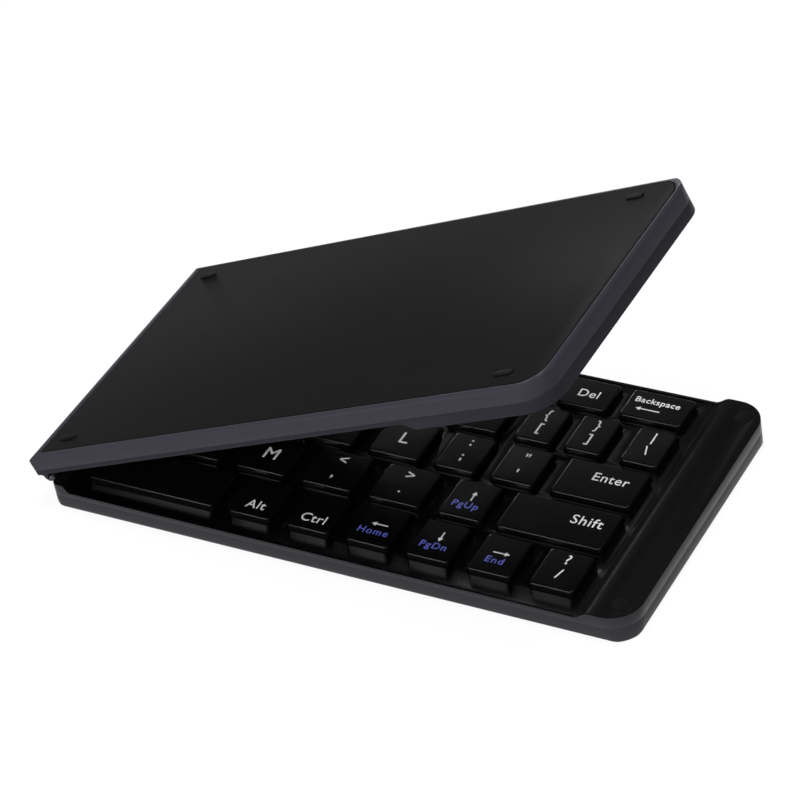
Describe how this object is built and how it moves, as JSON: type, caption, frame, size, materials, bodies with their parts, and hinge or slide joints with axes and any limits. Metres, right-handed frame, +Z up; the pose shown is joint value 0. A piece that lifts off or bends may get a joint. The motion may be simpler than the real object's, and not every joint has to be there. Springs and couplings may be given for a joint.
{
  "type": "folding keyboard",
  "caption": "Pocket keyboard in two thin halves that fold on a barrel hinge, with island keys, magnets in the border bars, rubber feet, a charging socket and a power switch.",
  "frame": {"origin": "under the middle of the part as it stands ajar, on the desk surface that the lower half's rubber feet touch", "axes": "+X from the hinge towards the free edge of the lower half, +Y towards the number row at the back, +Z up"},
  "size_m": [0.1684, 0.084, 0.0763],
  "materials": {
    "case_paint": "satin dark grey paint on moulded plastic",
    "side_band": "satin dark purple-grey paint on moulded plastic",
    "outer_plate": "satin black paint",
    "key_frame_gloss": "glossy black deck with a satin border bar",
    "key_cap": "satin black, printed legends",
    "rubber": "matt",
    "dome_rubber": "matt",
    "link_plastic": "natural",
    "film": "printed film",
    "sheet_steel": "pressed sheet",
    "screw_steel": "turned",
    "magnet_nickel": "nickel plated",
    "board_green": "solder mask",
    "battery_foil": "foil pouch",
    "port_steel": "drawn shell",
    "knob_plastic": "satin",
    "ribbon_film": "polyimide film with copper tracks"
  },
  "bodies": {
    "right_half": {"right_bottom_cover": "case_paint", "right_cover_plate": "outer_plate", "right_key_frame": "key_frame_gloss", "right_bumper_pads": "rubber", "right_support_plate": "sheet_steel", "right_switch_film": "film", "right_rubber_domes": "dome_rubber", "right_scissor_links": "link_plastic", "right_magnets": "magnet_nickel", "right_feet": "rubber", "right_screws": "screw_steel", "hinge_pins": "screw_steel", "flex_cable_roll": "ribbon_film"},
    "left_half": {"left_bottom_cover": "side_band", "left_cover_plate": "outer_plate", "left_key_frame": "key_frame_gloss", "left_support_plate": "sheet_steel", "left_switch_film": "film", "left_rubber_domes": "dome_rubber", "left_scissor_links": "link_plastic", "left_magnets": "magnet_nickel", "left_feet": "rubber", "left_screws": "screw_steel", "main_board": "board_green", "battery": "battery_foil", "charging_port": "port_steel", "flex_cable_tail": "ribbon_film"},
    "key_space_body": {"key_space": "key_cap"},
    "key_alt_body": {"key_alt": "key_cap"},
    "key_ctrl_body": {"key_ctrl": "key_cap"},
    "key_home_body": {"key_home": "key_cap"},
    "key_page_down_body": {"key_page_down": "key_cap"},
    "key_end_body": {"key_end": "key_cap"},
    "key_slash_body": {"key_slash": "key_cap"},
    "key_n_body": {"key_n": "key_cap"},
    "key_m_body": {"key_m": "key_cap"},
    "key_comma_body": {"key_comma": "key_cap"},
    "key_period_body": {"key_period": "key_cap"},
    "key_page_up_body": {"key_page_up": "key_cap"},
    "key_shift_body": {"key_shift": "key_cap"},
    "key_k_body": {"key_k": "key_cap"},
    "key_l_body": {"key_l": "key_cap"},
    "key_semicolon_body": {"key_semicolon": "key_cap"},
    "key_quote_body": {"key_quote": "key_cap"},
    "key_enter_body": {"key_enter": "key_cap"},
    "key_p_body": {"key_p": "key_cap"},
    "key_bracket_open_body": {"key_bracket_open": "key_cap"},
    "key_bracket_close_body": {"key_bracket_close": "key_cap"},
    "key_backslash_body": {"key_backslash": "key_cap"},
    "key_delete_body": {"key_delete": "key_cap"},
    "key_backspace_body": {"key_backspace": "key_cap"},
    "keys_seven_to_equals_body": {"keys_seven_to_equals": "key_cap"},
    "keys_y_to_o_body": {"keys_y_to_o": "key_cap"},
    "keys_h_j_b_body": {"keys_h_j_b": "key_cap"},
    "left_number_row_keys_body": {"left_number_row_keys": "key_cap"},
    "left_tab_row_keys_body": {"left_tab_row_keys": "key_cap"},
    "left_caps_row_keys_body": {"left_caps_row_keys": "key_cap"},
    "left_shift_row_keys_body": {"left_shift_row_keys": "key_cap"},
    "left_space_row_keys_body": {"left_space_row_keys": "key_cap"},
    "power_switch_body": {"power_switch_knob": "knob_plastic"}
  },
  "joints": [
    {"name": "fold_hinge", "type": "hinge", "parent": "right_half", "child": "left_half", "pos_m": [-0.08082, 0, 0.00815], "axis": [0, -1, 0], "range_deg": [-21.8, 158.2]},
    {"name": "key_space_press", "type": "slide", "parent": "right_half", "child": "key_space_body", "axis": [0, 0, -1], "range_m": [0, 0.0012], "stiffness_N_per_m": 350, "springref_m": -0.001, "deforming": ["right_rubber_domes", "right_scissor_links"]},
    {"name": "key_alt_press", "type": "slide", "parent": "right_half", "child": "key_alt_body", "axis": [0, 0, -1], "range_m": [0, 0.0012], "stiffness_N_per_m": 350, "springref_m": -0.001, "deforming": ["right_rubber_domes", "right_scissor_links"]},
    {"name": "key_ctrl_press", "type": "slide", "parent": "right_half", "child": "key_ctrl_body", "axis": [0, 0, -1], "range_m": [0, 0.0012], "stiffness_N_per_m": 350, "springref_m": -0.001, "deforming": ["right_rubber_domes", "right_scissor_links"]},
    {"name": "key_home_press", "type": "slide", "parent": "right_half", "child": "key_home_body", "axis": [0, 0, -1], "range_m": [0, 0.0012], "stiffness_N_per_m": 350, "springref_m": -0.001, "deforming": ["right_rubber_domes", "right_scissor_links"]},
    {"name": "key_page_down_press", "type": "slide", "parent": "right_half", "child": "key_page_down_body", "axis": [0, 0, -1], "range_m": [0, 0.0012], "stiffness_N_per_m": 350, "springref_m": -0.001, "deforming": ["right_rubber_domes", "right_scissor_links"]},
    {"name": "key_end_press", "type": "slide", "parent": "right_half", "child": "key_end_body", "axis": [0, 0, -1], "range_m": [0, 0.0012], "stiffness_N_per_m": 350, "springref_m": -0.001, "deforming": ["right_rubber_domes", "right_scissor_links"]},
    {"name": "key_slash_press", "type": "slide", "parent": "right_half", "child": "key_slash_body", "axis": [0, 0, -1], "range_m": [0, 0.0012], "stiffness_N_per_m": 350, "springref_m": -0.001, "deforming": ["right_rubber_domes", "right_scissor_links"]},
    {"name": "key_n_press", "type": "slide", "parent": "right_half", "child": "key_n_body", "axis": [0, 0, -1], "range_m": [0, 0.0012], "stiffness_N_per_m": 350, "springref_m": -0.001, "deforming": ["right_rubber_domes", "right_scissor_links"]},
    {"name": "key_m_press", "type": "slide", "parent": "right_half", "child": "key_m_body", "axis": [0, 0, -1], "range_m": [0, 0.0012], "stiffness_N_per_m": 350, "springref_m": -0.001, "deforming": ["right_rubber_domes", "right_scissor_links"]},
    {"name": "key_comma_press", "type": "slide", "parent": "right_half", "child": "key_comma_body", "axis": [0, 0, -1], "range_m": [0, 0.0012], "stiffness_N_per_m": 350, "springref_m": -0.001, "deforming": ["right_rubber_domes", "right_scissor_links"]},
    {"name": "key_period_press", "type": "slide", "parent": "right_half", "child": "key_period_body", "axis": [0, 0, -1], "range_m": [0, 0.0012], "stiffness_N_per_m": 350, "springref_m": -0.001, "deforming": ["right_rubber_domes", "right_scissor_links"]},
    {"name": "key_page_up_press", "type": "slide", "parent": "right_half", "child": "key_page_up_body", "axis": [0, 0, -1], "range_m": [0, 0.0012], "stiffness_N_per_m": 350, "springref_m": -0.001, "deforming": ["right_rubber_domes", "right_scissor_links"]},
    {"name": "key_shift_press", "type": "slide", "parent": "right_half", "child": "key_shift_body", "axis": [0, 0, -1], "range_m": [0, 0.0012], "stiffness_N_per_m": 350, "springref_m": -0.001, "deforming": ["right_rubber_domes", "right_scissor_links"]},
    {"name": "key_k_press", "type": "slide", "parent": "right_half", "child": "key_k_body", "axis": [0, 0, -1], "range_m": [0, 0.0012], "stiffness_N_per_m": 350, "springref_m": -0.001, "deforming": ["right_rubber_domes", "right_scissor_links"]},
    {"name": "key_l_press", "type": "slide", "parent": "right_half", "child": "key_l_body", "axis": [0, 0, -1], "range_m": [0, 0.0012], "stiffness_N_per_m": 350, "springref_m": -0.001, "deforming": ["right_rubber_domes", "right_scissor_links"]},
    {"name": "key_semicolon_press", "type": "slide", "parent": "right_half", "child": "key_semicolon_body", "axis": [0, 0, -1], "range_m": [0, 0.0012], "stiffness_N_per_m": 350, "springref_m": -0.001, "deforming": ["right_rubber_domes", "right_scissor_links"]},
    {"name": "key_quote_press", "type": "slide", "parent": "right_half", "child": "key_quote_body", "axis": [0, 0, -1], "range_m": [0, 0.0012], "stiffness_N_per_m": 350, "springref_m": -0.001, "deforming": ["right_rubber_domes", "right_scissor_links"]},
    {"name": "key_enter_press", "type": "slide", "parent": "right_half", "child": "key_enter_body", "axis": [0, 0, -1], "range_m": [0, 0.0012], "stiffness_N_per_m": 350, "springref_m": -0.001, "deforming": ["right_rubber_domes", "right_scissor_links"]},
    {"name": "key_p_press", "type": "slide", "parent": "right_half", "child": "key_p_body", "axis": [0, 0, -1], "range_m": [0, 0.0012], "stiffness_N_per_m": 350, "springref_m": -0.001, "deforming": ["right_rubber_domes", "right_scissor_links"]},
    {"name": "key_bracket_open_press", "type": "slide", "parent": "right_half", "child": "key_bracket_open_body", "axis": [0, 0, -1], "range_m": [0, 0.0012], "stiffness_N_per_m": 350, "springref_m": -0.001, "deforming": ["right_rubber_domes", "right_scissor_links"]},
    {"name": "key_bracket_close_press", "type": "slide", "parent": "right_half", "child": "key_bracket_close_body", "axis": [0, 0, -1], "range_m": [0, 0.0012], "stiffness_N_per_m": 350, "springref_m": -0.001, "deforming": ["right_rubber_domes", "right_scissor_links"]},
    {"name": "key_backslash_press", "type": "slide", "parent": "right_half", "child": "key_backslash_body", "axis": [0, 0, -1], "range_m": [0, 0.0012], "stiffness_N_per_m": 350, "springref_m": -0.001, "deforming": ["right_rubber_domes", "right_scissor_links"]},
    {"name": "key_delete_press", "type": "slide", "parent": "right_half", "child": "key_delete_body", "axis": [0, 0, -1], "range_m": [0, 0.0012], "stiffness_N_per_m": 350, "springref_m": -0.001, "deforming": ["right_rubber_domes", "right_scissor_links"]},
    {"name": "key_backspace_press", "type": "slide", "parent": "right_half", "child": "key_backspace_body", "axis": [0, 0, -1], "range_m": [0, 0.0012], "stiffness_N_per_m": 350, "springref_m": -0.001, "deforming": ["right_rubber_domes", "right_scissor_links"]},
    {"name": "keys_seven_to_equals_press", "type": "slide", "parent": "right_half", "child": "keys_seven_to_equals_body", "axis": [0, 0, -1], "range_m": [0, 0.0012], "stiffness_N_per_m": 350, "springref_m": -0.001, "deforming": ["right_rubber_domes", "right_scissor_links"]},
    {"name": "keys_y_to_o_press", "type": "slide", "parent": "right_half", "child": "keys_y_to_o_body", "axis": [0, 0, -1], "range_m": [0, 0.0012], "stiffness_N_per_m": 350, "springref_m": -0.001, "deforming": ["right_rubber_domes", "right_scissor_links"]},
    {"name": "keys_h_j_b_press", "type": "slide", "parent": "right_half", "child": "keys_h_j_b_body", "axis": [0, 0, -1], "range_m": [0, 0.0012], "stiffness_N_per_m": 350, "springref_m": -0.001, "deforming": ["right_rubber_domes", "right_scissor_links"]},
    {"name": "left_number_row_keys_press", "type": "slide", "parent": "left_half", "child": "left_number_row_keys_body", "axis": [-0.3714, 0, 0.9285], "range_m": [0, 0.0012], "stiffness_N_per_m": 350, "springref_m": -0.001, "deforming": ["left_rubber_domes", "left_scissor_links"]},
    {"name": "left_tab_row_keys_press", "type": "slide", "parent": "left_half", "child": "left_tab_row_keys_body", "axis": [-0.3714, 0, 0.9285], "range_m": [0, 0.0012], "stiffness_N_per_m": 350, "springref_m": -0.001, "deforming": ["left_rubber_domes", "left_scissor_links"]},
    {"name": "left_caps_row_keys_press", "type": "slide", "parent": "left_half", "child": "left_caps_row_keys_body", "axis": [-0.3714, 0, 0.9285], "range_m": [0, 0.0012], "stiffness_N_per_m": 350, "springref_m": -0.001, "deforming": ["left_rubber_domes", "left_scissor_links"]},
    {"name": "left_shift_row_keys_press", "type": "slide", "parent": "left_half", "child": "left_shift_row_keys_body", "axis": [-0.3714, 0, 0.9285], "range_m": [0, 0.0012], "stiffness_N_per_m": 350, "springref_m": -0.001, "deforming": ["left_rubber_domes", "left_scissor_links"]},
    {"name": "left_space_row_keys_press", "type": "slide", "parent": "left_half", "child": "left_space_row_keys_body", "axis": [-0.3714, 0, 0.9285], "range_m": [0, 0.0012], "stiffness_N_per_m": 350, "springref_m": -0.001, "deforming": ["left_rubber_domes", "left_scissor_links"]},
    {"name": "power_switch_slide", "type": "slide", "parent": "left_half", "child": "power_switch_body", "axis": [0.9285, 0, 0.3714], "range_m": [0, 0.003]}
  ]
}
